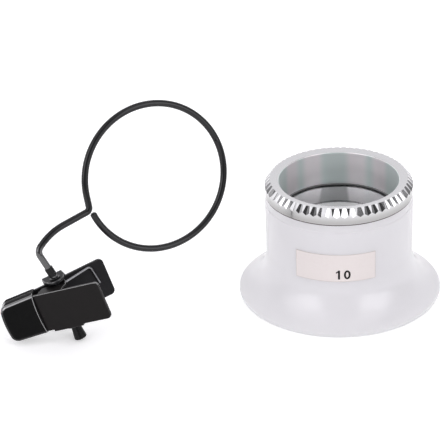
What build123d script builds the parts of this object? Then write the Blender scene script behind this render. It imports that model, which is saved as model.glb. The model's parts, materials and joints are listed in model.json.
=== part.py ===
from build123d import *
import os
from math import asin, atan2, ceil, cos, degrees, hypot, pi, radians, sin, sqrt, tan

# Clip-on eyeglass loupe: a screwed two-lens loupe standing on its eye cup, and beside it the
# spring clip whose open wire ring grips the loupe's waist. Millimetres and degrees. The origin is
# the centre of the eye cup's rim, +Z runs up the optical axis, and the clip stands at -X.

# General clearances
cut_overrun = 1.0
running_clearance = 0.05
seat_gap = 0.02

# Housing
waist_dia = 33.5
skirt_rim_dia = 46.3
housing_height = 24.6
flare_height = 10.4
rim_band_height = 1.0
rim_edge_fillet = 0.45
housing_wall = 1.5
rim_width = 2.55
mouth_lip_height = 1.2
inner_flare_height = 8.0
collar_height = 1.8
collar_step = 0.12
collar_chamfer = 0.12

# Lens barrel
bezel_inset = 0.05
bezel_height = 3.48
bezel_dish_depth = 0.4
bore_depth = 8.3
sleeve_wall = 0.95
sleeve_overhang = 0.3
shoulder_width = 0.71
bore_chamfer_width = 0.15
flute_count = 60
flute_chamfer_height = 1.27
flute_chamfer_width = 1.1
flute_top_notch = 0.22
flute_foot_drop = 0.54
flute_land = 0.13

# Seal washer under the bezel
washer_thickness = 0.18
washer_inset = 0.12

# Lens stack
lens_edge = 1.2
lens_land_width = 1.2
lens_curve_radius = 27.0
lens_vertex_gap = 0.5
gasket_thickness = 0.3
gasket_overhang = 0.22
spacer_wall = 1.1
retainer_height = 1.5
retainer_wall = 1.6
retainer_slot_width = 1.2
retainer_slot_depth = 0.8
retainer_slot_count = 2

# Label
label_thickness = 0.07
label_sweep_angle = 63.0
label_turn_angle = -7.5
label_height = 6.75
label_foot_gap = 0.3

# Clip leaves
leaf_thickness = 0.7
leaf_height = 9.0
half_splay_angle = 19.5
pivot_offset = 4.2
tail_length = 10.4
boot_line = 6.25
jaw_length = 8.35
jaw_height = 7.0
jaw_bend_radius = 0.5
tail_corner = 1.1
grip_half_gap = 0.1
boot_inner_wall = 0.7

# Ears that carry the hinge pin
ear_thickness = 0.7
ear_nose = 2.0
ear_shoulder = 0.6
rear_ear_jaw_side = 2.4
rear_ear_tail_side = 2.5
front_ear_jaw_side = 3.9
front_ear_tail_side = 2.4
fold_jaw_side = 3.1
fold_tail_side = 4.4
fold_drop = 0.4
ear_stack_gap = 0.67

# Rubber boots
boot_outer_wall = 1.0
boot_edge_wall = 0.3
boot_tip_wall = 1.3
boot_taper = 0.35
boot_tip_bow = 0.5
boot_corner = 1.8
boot_round = 0.85

# Wire arm, flat in one plane that holds the pin
wire_dia = 1.5
pin_clearance = 0.07
pin_bend_rise = 0.4
elbow_reach = 1.2
elbow_rise = 13.22
shank_knee_x = 3.06
shank_knee_rise = 15.86
shank_end_rise = 16.3
ring_grip = 1.1
ring_near_x = 13.55
ring_centre_rise = 16.64
ring_start_rise = 3.0
ring_end_drop = 1.15
pin_bend_radius = 3.0
elbow_radius = 1.9
knee_radius = 13.0
ring_bend_radius = 1.1
swivel_rest_angle = 22.7

# Washer, collar and knob on the wire
pivot_washer_dia = 2.5
pivot_washer_thickness = 0.25
collar_dia = 1.9
collar_length = 2.1
collar_start = 0.45
knob_top_dia = 2.1
knob_end_dia = 2.9
knob_length = 3.35
knob_socket = 2.4
knob_rib_count = 12
knob_groove_dia = 0.32
knob_end_fillet = 0.25

# Torsion spring
spring_wire_dia = 0.5
spring_mean_radius = 1.15
spring_turn_count = 5
spring_biarc_count = 18
spring_height = 6.86
spring_leg_gap = 0.05
spring_leg_reach = 9.0
spring_leg_rise = 0.46
spring_foot_length = 4.6
spring_foot_slant_angle = 8.7
spring_bend_radius = 0.8
spring_least_gap = 0.4

# Stance of the clip beside the loupe
clip_stand_off = 12.59
clip_y = -17.5
clip_yaw_angle = 2.35
clip_lift_angle = 18.3
clip_lean_angle = 8.65

# Places worked out from the sizes
waist_radius = waist_dia / 2
skirt_radius = skirt_rim_dia / 2
mouth_radius = skirt_radius - rim_width
housing_bore_radius = waist_radius - housing_wall
sleeve_radius = housing_bore_radius - running_clearance
counterbore_radius = sleeve_radius - sleeve_wall
bore_radius = counterbore_radius - shoulder_width
bezel_radius = waist_radius - bezel_inset
flute_width = 2 * pi * bezel_radius / flute_count - flute_land
bezel_seat = housing_height + washer_thickness + 2 * seat_gap
bezel_top = bezel_seat + bezel_height
shoulder_height = bezel_top - bore_depth
lens_radius = counterbore_radius - running_clearance
lens_clear_radius = lens_radius - lens_land_width
lens_sag = lens_curve_radius - sqrt(lens_curve_radius**2 - lens_clear_radius**2)
objective_top = shoulder_height - gasket_thickness
spacer_top = objective_top - lens_edge
spacer_height = 2 * lens_sag + lens_vertex_gap
spacer_foot = spacer_top - spacer_height
retainer_top = spacer_foot - lens_edge
retainer_foot = retainer_top - retainer_height
sleeve_foot = retainer_foot - sleeve_overhang

splay_cos = cos(radians(half_splay_angle))
splay_sin = sin(radians(half_splay_angle))
jaw_outer = grip_half_gap + boot_inner_wall + leaf_thickness
bend_along = (jaw_outer - pivot_offset) / splay_sin
boot_start = -boot_line * splay_cos
jaw_tip = boot_start - jaw_length
half_height = leaf_height / 2
rear_ear_foot = half_height + ear_stack_gap
rear_ear_top = rear_ear_foot + ear_thickness
pin_foot = -pivot_offset * splay_sin
pin_depth = pivot_offset * splay_cos
wire_radius = wire_dia / 2
pin_hole_radius = wire_radius + pin_clearance
ring_radius = waist_radius + wire_radius - ring_grip
ring_centre_x = ring_near_x + ring_radius
clip_x = -(waist_radius + 2 * ring_radius + clip_stand_off)


def revolved(points):
    """Return the solid of a closed outline of (radius, height) points turned round the axis."""
    outline = Polyline(*[(r, 0, z) for r, z in points], close=True)
    return revolve(make_face(outline), Axis.Z)


def ring(inner_radius, outer_radius, foot, height):
    """Return a plain ring standing on the height foot."""
    tube = Cylinder(outer_radius, height) - Cylinder(inner_radius, height + cut_overrun)
    return Pos(0, 0, foot + height / 2) * tube


def vertical_start_arc(r, z, end_r, end_z):
    """Return the arc that leaves (r, z) straight down and flares out to (end_r, end_z)."""
    return TangentArc((r, 0, z), (end_r, 0, end_z), tangent=(0, 0, -1))


def make_housing():
    """Return the frosted housing: waist, collar step and the trumpet-shaped eye cup."""
    collar_foot = housing_height - collar_height
    collar_radius = waist_radius - collar_step
    outer_flare = vertical_start_arc(waist_radius, flare_height, skirt_radius, rim_band_height)
    inner_flare = vertical_start_arc(
        housing_bore_radius, inner_flare_height, mouth_radius, mouth_lip_height
    )
    above = Polyline(
        (housing_bore_radius, 0, inner_flare_height),
        (housing_bore_radius, 0, housing_height),
        (collar_radius, 0, housing_height),
        (collar_radius, 0, collar_foot + collar_chamfer),
        (waist_radius, 0, collar_foot),
        (waist_radius, 0, flare_height),
    )
    below = Polyline(
        (skirt_radius, 0, rim_band_height),
        (skirt_radius, 0, 0),
        (mouth_radius, 0, 0),
        (mouth_radius, 0, mouth_lip_height),
    )
    body = revolve(make_face([above, outer_flare, below, inner_flare]), Axis.Z)
    rim_edges = [
        e
        for e in body.edges().filter_by(GeomType.CIRCLE)
        if abs(e.radius - skirt_radius) < seat_gap and abs(e.center().Z) < rim_band_height / 2
    ]
    return fillet(rim_edges, rim_edge_fillet)


def flute_cutter():
    """Return one V-shaped cutter at azimuth 0, whose root runs steeper than the chamfer."""
    run = flute_chamfer_width + flute_top_notch
    drop = flute_chamfer_height + flute_foot_drop
    slope = atan2(drop, run)
    foot = Vector(bezel_radius, 0, bezel_top - drop)
    along = Vector(cos(slope), 0, -sin(slope))
    outward = Vector(sin(slope), 0, cos(slope))
    foot_depth = flute_foot_drop * cos(slope)
    opening = flute_width / 2 * (foot_depth + cut_overrun) / foot_depth
    section = Polyline(
        (0, 0), (foot_depth + cut_overrun, opening), (foot_depth + cut_overrun, -opening), close=True
    )
    reach = hypot(run, drop) + cut_overrun
    place = Plane(origin=foot - along * reach, x_dir=outward, z_dir=along)
    return extrude(place * make_face(section), reach + cut_overrun)


def make_lens_barrel():
    """Return the turned barrel: fluted bezel, bore, counterbore for the lenses and sleeve."""
    body = revolved(
        [
            (bore_radius, shoulder_height),
            (bore_radius, bezel_top - bezel_dish_depth - bore_chamfer_width),
            (bore_radius + bore_chamfer_width, bezel_top - bezel_dish_depth),
            (bezel_radius - flute_chamfer_width, bezel_top),
            (bezel_radius, bezel_top - flute_chamfer_height),
            (bezel_radius, bezel_seat),
            (sleeve_radius, bezel_seat),
            (sleeve_radius, sleeve_foot),
            (counterbore_radius, sleeve_foot),
            (counterbore_radius, shoulder_height),
        ]
    )
    cutters = [Rot(Z=360 * i / flute_count) * flute_cutter() for i in range(flute_count)]
    return body - cutters


def make_seal_washer():
    """Return the thin washer between the bezel and the housing."""
    outer_radius = waist_radius - washer_inset
    return ring(housing_bore_radius, outer_radius, housing_height + seat_gap, washer_thickness)


def make_front_gasket():
    """Return the black ring between the barrel's shoulder and the objective lens."""
    inner = bore_radius - gasket_overhang
    return ring(inner, lens_radius, objective_top, gasket_thickness)


def plano_convex(flat, bulge):
    """Return a plano-convex lens with its flat face at flat and its bulge up (1) or down (-1)."""
    edge = flat + bulge * lens_edge
    crown = edge + bulge * lens_sag
    outline = [
        Line((0, 0, flat), (lens_radius, 0, flat)),
        Line((lens_radius, 0, flat), (lens_radius, 0, edge)),
        Line((lens_radius, 0, edge), (lens_clear_radius, 0, edge)),
        TangentArc((0, 0, crown), (lens_clear_radius, 0, edge), tangent=(1, 0, 0)),
        Line((0, 0, crown), (0, 0, flat)),
    ]
    return revolve(make_face(outline), Axis.Z)


def make_lens_spacer():
    """Return the tube that holds the two lenses apart."""
    return ring(lens_radius - spacer_wall, lens_radius, spacer_foot, spacer_height)


def make_retaining_ring():
    """Return the ring under the eye lens, with its two spanner slots."""
    body = ring(lens_radius - retainer_wall, lens_radius, retainer_foot, retainer_height)
    slot = Pos(lens_radius, 0, retainer_foot) * Box(
        2 * retainer_wall + cut_overrun, retainer_slot_width, 2 * retainer_slot_depth
    )
    step = 360 / retainer_slot_count
    return body - [Rot(Z=step * i) * slot for i in range(retainer_slot_count)]


def make_power_label():
    """Return the label wrapped round the front of the waist."""
    foot = flare_height + label_foot_gap
    inner = waist_radius + seat_gap
    outer = inner + label_thickness
    outline = Polyline(
        (inner, 0, foot),
        (outer, 0, foot),
        (outer, 0, foot + label_height),
        (inner, 0, foot + label_height),
        close=True,
    )
    band = revolve(make_face(outline), Axis.Z, revolution_arc=label_sweep_angle)
    front = -90
    return Rot(Z=front + label_turn_angle - label_sweep_angle / 2) * band


def on_leaf(along, depth=0.0):
    """Return the plan point at a distance along the rear leaf's skin and a depth under it."""
    x = along * splay_cos + depth * splay_sin
    y = pivot_offset + along * splay_sin - depth * splay_cos
    return (x, y)


def leaf_blank():
    """Return the rear leaf without ears: a slanted tail and a narrower jaw, bent from one sheet."""
    miter = leaf_thickness * tan(radians(half_splay_angle) / 2)
    jaw_end = jaw_tip + boot_tip_wall
    bend_x = on_leaf(bend_along)[0]
    plan = make_face(
        Polyline(
            (jaw_end, jaw_outer),
            (bend_x, jaw_outer),
            on_leaf(tail_length),
            on_leaf(tail_length, leaf_thickness),
            (bend_x + miter, jaw_outer - leaf_thickness),
            (jaw_end, jaw_outer - leaf_thickness),
            close=True,
        )
    )
    corners = sorted(plan.vertices(), key=lambda v: abs(v.X - bend_x))[:2]
    hollow, crown = sorted(corners, key=lambda v: v.X)
    plan = fillet(hollow, jaw_bend_radius)
    crown = sorted(plan.vertices(), key=lambda v: abs(v.X - crown.X) + abs(v.Y - crown.Y))[0]
    plan = fillet(crown, jaw_bend_radius + leaf_thickness)
    body = extrude(plan, half_height, both=True)
    ends = [
        e
        for e in body.edges()
        if abs(e.length - leaf_thickness) < seat_gap and e.center().X > pivot_offset
    ]
    body = fillet(ends, tail_corner)
    trim_height = half_height - jaw_height / 2 + cut_overrun
    trim_length = bend_x - jaw_end + cut_overrun
    trim = Box(trim_length, 2 * pivot_offset, trim_height)
    trim_x = bend_x - trim_length / 2
    for side in (-1, 1):
        body -= Pos(trim_x, pivot_offset, side * (jaw_height + trim_height) / 2) * trim
    return body


def fold_wall(jaw_side, tail_side, low, high):
    """Return the stretch of the leaf's sheet that carries an ear past the leaf's edge."""
    first = pin_foot - jaw_side
    last = pin_foot + tail_side
    plan = Polyline(
        on_leaf(first),
        on_leaf(last),
        on_leaf(last, leaf_thickness),
        on_leaf(first, leaf_thickness),
        close=True,
    )
    return Pos(0, 0, low) * extrude(make_face(plan), high - low)


def ear(jaw_side, tail_side, foot):
    """Return one ear of the rear leaf: a tab from the leaf's skin to a round nose about the pin."""
    first = pin_foot - jaw_side
    last = pin_foot + tail_side
    shoulder = pin_depth - ear_shoulder
    tab = Polyline(
        on_leaf(first),
        on_leaf(last),
        on_leaf(last, shoulder),
        on_leaf(pin_foot + ear_nose, pin_depth),
        on_leaf(pin_foot - ear_nose, pin_depth),
        on_leaf(first, shoulder),
        close=True,
    )
    plan = make_face(tab) + Circle(ear_nose) - Circle(pin_hole_radius)
    return Pos(0, 0, foot) * extrude(plan, ear_thickness)


def make_leaf(upper, lower):
    """Return a leaf with its two ears, each given by its jaw side, tail side and foot height."""
    body = leaf_blank()
    body += fold_wall(*upper[:2], 0, upper[2] + ear_thickness) + ear(*upper)
    body += fold_wall(*lower[:2], lower[2], 0) + ear(*lower)
    return body


def make_rear_leaf():
    """Return the rear leaf, whose ears lie outside those of the front leaf."""
    sides = (rear_ear_jaw_side, rear_ear_tail_side)
    return make_leaf((*sides, rear_ear_foot), (*sides, -rear_ear_top))


def make_front_leaf():
    """Return the front leaf, the mirror of the rear one with its ears inside."""
    upper = (front_ear_jaw_side, front_ear_tail_side, half_height - ear_thickness)
    lower = (fold_jaw_side, fold_tail_side, -half_height - fold_drop)
    return mirror(make_leaf(upper, lower), Plane.XZ)


def make_boot(leaf, side):
    """Return the rubber boot over one jaw, hollowed by the leaf that it sleeves."""
    outer = jaw_outer + boot_outer_wall
    root_half = half_height + boot_edge_wall
    tip_half = root_half - boot_taper
    nose = (jaw_tip, 0)
    low_corner = (jaw_tip + boot_tip_bow, -tip_half)
    high_corner = (jaw_tip + boot_tip_bow, tip_half)
    sides = Polyline(high_corner, (boot_start, root_half), (boot_start, -root_half), low_corner)
    face = make_face([sides, ThreePointArc(low_corner, nose, high_corner)])
    face = fillet(face.vertices().sort_by(Axis.X)[:2], boot_corner)
    block = Pos(0, outer, 0) * extrude(Plane.XZ * face, outer - grip_half_gap)
    skin = [
        e
        for e in block.edges()
        if abs(e.center().Y - outer) < seat_gap and e.center().X < boot_start - seat_gap
    ]
    block = fillet(skin, boot_round)
    if side < 0:
        block = mirror(block, Plane.XZ)
    return block - leaf


def wire_point(x, rise):
    """Return the point of the wire arm's plane at a distance out from the pin and a rise."""
    turn = radians(swivel_rest_angle)
    return Vector(x * cos(turn), x * sin(turn), rise)


def wire_path():
    """Return the wire's centre line, from the pin's foot up the shank and round the ring."""
    start_angle = pi - atan2(ring_start_rise, sqrt(ring_radius**2 - ring_start_rise**2))
    start_x = ring_centre_x + ring_radius * cos(start_angle)
    start_rise = ring_centre_rise + ring_start_rise
    lead = start_rise - shank_end_rise
    corner_x = start_x - lead * sin(start_angle) / -cos(start_angle)
    knob_end = -rear_ear_top - seat_gap - knob_socket
    pin_top = rear_ear_top + pin_bend_rise
    corners = [
        wire_point(0, knob_end),
        wire_point(0, pin_top),
        wire_point(-elbow_reach, elbow_rise),
        wire_point(shank_knee_x, shank_knee_rise),
        wire_point(corner_x, shank_end_rise),
        wire_point(start_x, start_rise),
    ]
    radii = [pin_bend_radius, elbow_radius, knee_radius, ring_bend_radius]
    shank = FilletPolyline(*corners, radius=radii)
    top_rise = ring_centre_rise + ring_radius
    end_x = ring_centre_x - sqrt(ring_radius**2 - ring_end_drop**2)
    over = ThreePointArc(
        wire_point(start_x, start_rise),
        wire_point(ring_centre_x, top_rise),
        wire_point(ring_centre_x + ring_radius, ring_centre_rise),
    )
    under = ThreePointArc(
        wire_point(ring_centre_x + ring_radius, ring_centre_rise),
        wire_point(ring_centre_x, ring_centre_rise - ring_radius),
        wire_point(end_x, ring_centre_rise - ring_end_drop),
    )
    return [shank, over, under]


def swept(path, radius):
    """Return the round wire of a radius along a path of lines and arcs."""
    wire = Wire([e for part in path for e in part.edges()])
    section = Plane(origin=wire @ 0, z_dir=wire % 0) * Circle(radius)
    return sweep(section, path=wire)


def make_wire_arm():
    """Return the one bent wire: pin, shank and open ring."""
    return swept(wire_path(), wire_radius)


def lean_place(distance):
    """Return the place on the wire's leaning stretch above the upper ear."""
    foot = wire_point(0, rear_ear_top + pin_bend_rise)
    along = (wire_point(-elbow_reach, elbow_rise) - foot).normalized()
    return Plane(origin=foot + along * distance, z_dir=along)


def make_pivot_washer():
    """Return the washer between the upper ear and the collar."""
    return ring(
        pin_hole_radius,
        pivot_washer_dia / 2,
        rear_ear_top + seat_gap,
        pivot_washer_thickness,
    )


def make_pivot_collar():
    """Return the sleeve pressed on the wire just above the upper ear."""
    tube = Circle(collar_dia / 2) - Circle(wire_radius)
    return extrude(lean_place(collar_start) * tube, collar_length)


def make_end_knob():
    """Return the flared ribbed knob pressed on the pin's lower end."""
    top = -rear_ear_top - seat_gap
    foot = top - knob_length
    top_radius = knob_top_dia / 2
    end_radius = knob_end_dia / 2
    body = revolved([(0, foot), (end_radius, foot), (top_radius, top), (0, top)])
    rim = body.edges().filter_by(GeomType.CIRCLE).sort_by(Axis.Z)[0]
    body = fillet(rim, knob_end_fillet)
    lean = degrees(atan2(end_radius - top_radius, knob_length))
    middle = Pos((top_radius + end_radius) / 2, 0, (top + foot) / 2)
    groove = middle * Rot(Y=-lean) * Cylinder(knob_groove_dia / 2, 2 * knob_length)
    body -= [Rot(Z=360 * i / knob_rib_count) * groove for i in range(knob_rib_count)]
    socket = Pos(0, 0, top - knob_socket / 2 + cut_overrun / 2) * Cylinder(
        wire_radius, knob_socket + cut_overrun
    )
    return body - socket


def biarc(start, start_dir, end, end_dir):
    """Return the two arcs that join two points with the given directions, without a kink."""
    chord = end - start
    sum_dir = start_dir + end_dir
    turn = 2 * (1 - start_dir.dot(end_dir))
    across = chord.dot(sum_dir)
    reach = (sqrt(across**2 + turn * chord.dot(chord)) - across) / turn
    middle = (start + start_dir * reach + end - end_dir * reach) / 2
    middle_dir = (end - end_dir * reach - start - start_dir * reach).normalized()
    first = TangentArc(start, middle, tangent=start_dir)
    second = TangentArc(middle, end, tangent=middle_dir)
    return [first, second]


def spring_path():
    """Return the spring's centre line: a foot and leg, the coil round the pin, a leg and foot."""
    skin = pin_depth - leaf_thickness - spring_leg_gap - spring_wire_dia / 2
    span = hypot(spring_mean_radius, spring_leg_reach)
    lean = radians(half_splay_angle) + asin(skin / span) - asin(spring_mean_radius / span)
    first_angle = -pi / 2 - lean
    step_angle = (2 * pi * spring_turn_count - pi - 2 * lean) / spring_biarc_count
    stride = spring_mean_radius * step_angle
    leg_climb = spring_leg_rise / spring_leg_reach
    coil_climb = (spring_height / stride - leg_climb) / (spring_biarc_count - 1)

    def coil(step):
        """Return the coil's point and direction after a number of biarcs; its two ends ease off."""
        angle = first_angle - step_angle * step
        even_rise = coil_climb * stride * (step - spring_biarc_count / 2)
        rise = max(-spring_height / 2, min(spring_height / 2, even_rise))
        climb = leg_climb if step in (0, spring_biarc_count) else coil_climb
        point = Vector(spring_mean_radius * cos(angle), spring_mean_radius * sin(angle), rise)
        return point, Vector(sin(angle), -cos(angle), climb).normalized()

    def leg(point, direction, side):
        """Return the straight leg and the foot that lies along the leaf on one side."""
        slant = radians(spring_foot_slant_angle)
        corner = point + direction * spring_leg_reach
        along = Vector(splay_cos * sin(slant), side * splay_sin * sin(slant), -side * cos(slant))
        return FilletPolyline(
            point, corner, corner + along * spring_foot_length, radius=spring_bend_radius
        )

    low, low_dir = coil(0)
    high, high_dir = coil(spring_biarc_count)
    edges = [leg(low, -low_dir, -1)]
    for step in range(spring_biarc_count):
        edges += biarc(*coil(step), *coil(step + 1))
    return edges + [leg(high, high_dir, 1)]


def least_gap(path):
    """Return the least free gap between stretches of the spring that aren't neighbours."""
    wire = Wire([e for part in path for e in part.edges()])
    step = spring_wire_dia / 2
    count = ceil(wire.length / step)
    points = [wire @ (i / count) for i in range(count + 1)]
    apart = ceil(pi * spring_mean_radius / step)
    spans = [
        (points[i] - points[j]).length
        for i in range(len(points))
        for j in range(i + apart, len(points))
    ]
    return min(spans) - spring_wire_dia


def make_torsion_spring():
    """Return the torsion spring as one unbroken round wire."""
    path = spring_path()
    gap = least_gap(path)
    print("torsion spring least gap to itself", round(gap, 3), "wanted over", spring_least_gap)
    return swept(path, spring_wire_dia / 2)


def clip_parts():
    """Return the clip's pieces in its own frame: pin along Z, tails at +X, front at -Y."""
    rear = make_rear_leaf()
    front = make_front_leaf()
    return {
        "front_leaf": front,
        "rear_leaf": rear,
        "front_boot": make_boot(front, -1),
        "rear_boot": make_boot(rear, 1),
        "wire_arm": make_wire_arm(),
        "pivot_washer": make_pivot_washer(),
        "pivot_collar": make_pivot_collar(),
        "end_knob": make_end_knob(),
        "torsion_spring": make_torsion_spring(),
    }


def loupe_parts():
    """Return the loupe's pieces, standing on the eye cup's rim."""
    return {
        "housing": make_housing(),
        "lens_barrel": make_lens_barrel(),
        "seal_washer": make_seal_washer(),
        "front_gasket": make_front_gasket(),
        "objective_lens": plano_convex(objective_top, -1),
        "lens_spacer": make_lens_spacer(),
        "eye_lens": plano_convex(retainer_top, 1),
        "retaining_ring": make_retaining_ring(),
        "power_label": make_power_label(),
    }


def stand_clip(parts):
    """Turn the clip to its stance and set its lowest point on the floor."""
    tilt = Rot(Y=-clip_lift_angle) * Rot(X=-clip_lean_angle)
    turned = Pos(clip_x, clip_y, 0) * Rot(Z=clip_yaw_angle) * tilt
    feet = [(turned * parts[name]).bounding_box().min.Z for name in ("front_boot", "end_knob")]
    place = Pos(0, 0, -min(feet)) * turned
    pin = Plane(place)
    print("pin centre", pin.origin, "pin axis", pin.z_dir)
    print("feet", [round(z - min(feet), 3) for z in feet])
    return {name: place * part for name, part in parts.items()}


def main():
    """Build every piece and write one file for each."""
    os.makedirs("parts", exist_ok=True)
    parts = loupe_parts() | stand_clip(clip_parts())
    for name, part in parts.items():
        export_step(part, f"parts/{name}.step")


main()
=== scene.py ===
"""Looks for the clip-on eye loupe: finishes, figures, softened edges, lights and camera."""

import json
import logging
import math
from dataclasses import dataclass, field
from enum import Enum

import bmesh
import bpy
import numpy as np
from mathutils import Matrix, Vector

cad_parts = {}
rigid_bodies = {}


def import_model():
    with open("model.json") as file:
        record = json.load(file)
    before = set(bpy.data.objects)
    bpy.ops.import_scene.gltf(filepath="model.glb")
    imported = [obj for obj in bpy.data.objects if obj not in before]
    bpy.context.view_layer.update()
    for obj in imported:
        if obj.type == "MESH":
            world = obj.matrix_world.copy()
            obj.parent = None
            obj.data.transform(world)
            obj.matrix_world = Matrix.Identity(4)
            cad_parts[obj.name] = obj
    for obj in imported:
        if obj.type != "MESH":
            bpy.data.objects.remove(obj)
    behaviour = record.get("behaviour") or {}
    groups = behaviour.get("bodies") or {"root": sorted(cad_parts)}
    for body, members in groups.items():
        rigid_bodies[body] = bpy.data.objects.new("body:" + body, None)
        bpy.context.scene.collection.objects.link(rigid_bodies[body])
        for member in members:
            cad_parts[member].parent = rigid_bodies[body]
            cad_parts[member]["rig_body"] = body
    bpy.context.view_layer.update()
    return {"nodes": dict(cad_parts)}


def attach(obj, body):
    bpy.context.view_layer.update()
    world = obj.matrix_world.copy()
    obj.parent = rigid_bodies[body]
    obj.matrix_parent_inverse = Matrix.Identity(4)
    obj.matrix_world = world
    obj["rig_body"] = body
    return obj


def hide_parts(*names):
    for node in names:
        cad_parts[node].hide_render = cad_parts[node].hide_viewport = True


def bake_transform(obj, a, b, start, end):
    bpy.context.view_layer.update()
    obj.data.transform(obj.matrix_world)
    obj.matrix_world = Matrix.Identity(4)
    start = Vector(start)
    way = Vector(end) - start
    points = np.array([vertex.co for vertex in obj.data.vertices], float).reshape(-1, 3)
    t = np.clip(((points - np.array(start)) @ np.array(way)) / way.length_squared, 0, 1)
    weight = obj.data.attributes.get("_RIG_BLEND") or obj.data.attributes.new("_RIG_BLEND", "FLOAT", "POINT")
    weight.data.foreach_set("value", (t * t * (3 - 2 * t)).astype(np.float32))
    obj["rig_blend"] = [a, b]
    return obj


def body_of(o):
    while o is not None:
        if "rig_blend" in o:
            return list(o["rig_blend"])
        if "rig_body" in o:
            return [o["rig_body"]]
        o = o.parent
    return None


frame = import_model()
MM = 0.001
DEGREES = 180 / math.pi
LOG = logging.getLogger("loupe")

Array = np.ndarray
Colour = tuple[float, float, float]
Span = tuple[float, float]
Socket = bpy.types.NodeSocket

WHITE: Colour = (1.0, 1.0, 1.0)
BLACK: Colour = (0.0, 0.0, 0.0)

# The Mix node's colour sockets, which share their names with its other sockets.
MIX_LOW, MIX_HIGH, MIX_RESULT = 6, 7, 2

# Cosines to a direction: a rounded edge starts to look up, or to leave its flat face, at the
# first and has done so at the second.
LOOKS_UP: Span = (0.1, 0.5)
LEAVES_FLAT: Span = (0.99, 0.93)

# How many finer layers a noise has that stands for grain or fibres.
FINE = 3.0

# An edge is rounded where it turns more than this and its faces reach this many widths from it.
SHARP_TURN = math.radians(35)
ROOM_IN_WIDTHS = 2.5
ROUNDING_FACES = 2

# What counts as one place and one plane in a copied CAD mesh, and one place along a wire.
MERGE_MM = 0.002
FLAT_TURN = math.radians(0.5)
SAME_PLACE = 1e-4


class Signal:
    """A number that varies over a surface, with Python's arithmetic on it."""

    def __init__(self, recipe: "Recipe", socket: Socket) -> None:
        """Wrap one output socket of a recipe's node tree."""
        self.recipe = recipe
        self.socket = socket

    def math(self, operation: str, *values: "Signal | float") -> "Signal":
        """Add a Math node.

        Args:
            operation: the node's operation.
            values: the numbers or signals for its sockets, in order.

        Returns:
            The result as a signal.
        """
        inputs = dict(enumerate(values))
        node = self.recipe.node("ShaderNodeMath", {"operation": operation}, inputs)
        return Signal(self.recipe, node.outputs[0])

    def __add__(self, other: "Signal | float") -> "Signal":
        """Return the sum."""
        return self.math("ADD", self, other)

    __radd__ = __add__

    def __sub__(self, other: "Signal | float") -> "Signal":
        """Return the difference."""
        return self.math("SUBTRACT", self, other)

    def __rsub__(self, other: float) -> "Signal":
        """Return a number less this signal."""
        return self.math("SUBTRACT", other, self)

    def __mul__(self, other: "Signal | float") -> "Signal":
        """Return the product."""
        return self.math("MULTIPLY", self, other)

    __rmul__ = __mul__

    def __pow__(self, other: float) -> "Signal":
        """Return this signal raised to a power."""
        return self.math("POWER", self, other)

    def __neg__(self) -> "Signal":
        """Return this signal with the other sign."""
        return self * -1.0

    def __abs__(self) -> "Signal":
        """Return the size without its sign."""
        return self.math("ABSOLUTE", self)

    def __or__(self, other: "Signal") -> "Signal":
        """Return the larger of two masks."""
        return self.math("MAXIMUM", self, other)

    def step(self, low: float, high: float) -> "Signal":
        """Return 0 below low and 1 above high, rising smoothly (or falling, if swapped)."""
        node = self.recipe.node(
            "ShaderNodeMapRange",
            {"interpolation_type": "SMOOTHSTEP", "clamp": True},
            {"Value": self, "From Min": low, "From Max": high, "To Min": 0.0, "To Max": 1.0},
        )
        return Signal(self.recipe, node.outputs[0])

    def within(self, low: float, high: float, soft: float) -> "Signal":
        """Return 1 between low and high, fading over soft to each side of both."""
        return self.step(low - soft, low + soft) * self.step(high + soft, high - soft)

    def between(self, low: float, high: float) -> "Signal":
        """Return the number that goes from low to high as this mask goes from 0 to 1."""
        return self * (high - low) + low

    def bearing(self, ahead: "Signal") -> "Signal":
        """Return the angle in degrees from ahead towards this axis, atan2(self, ahead)."""
        return self.math("ARCTAN2", self, ahead) * DEGREES


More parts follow.
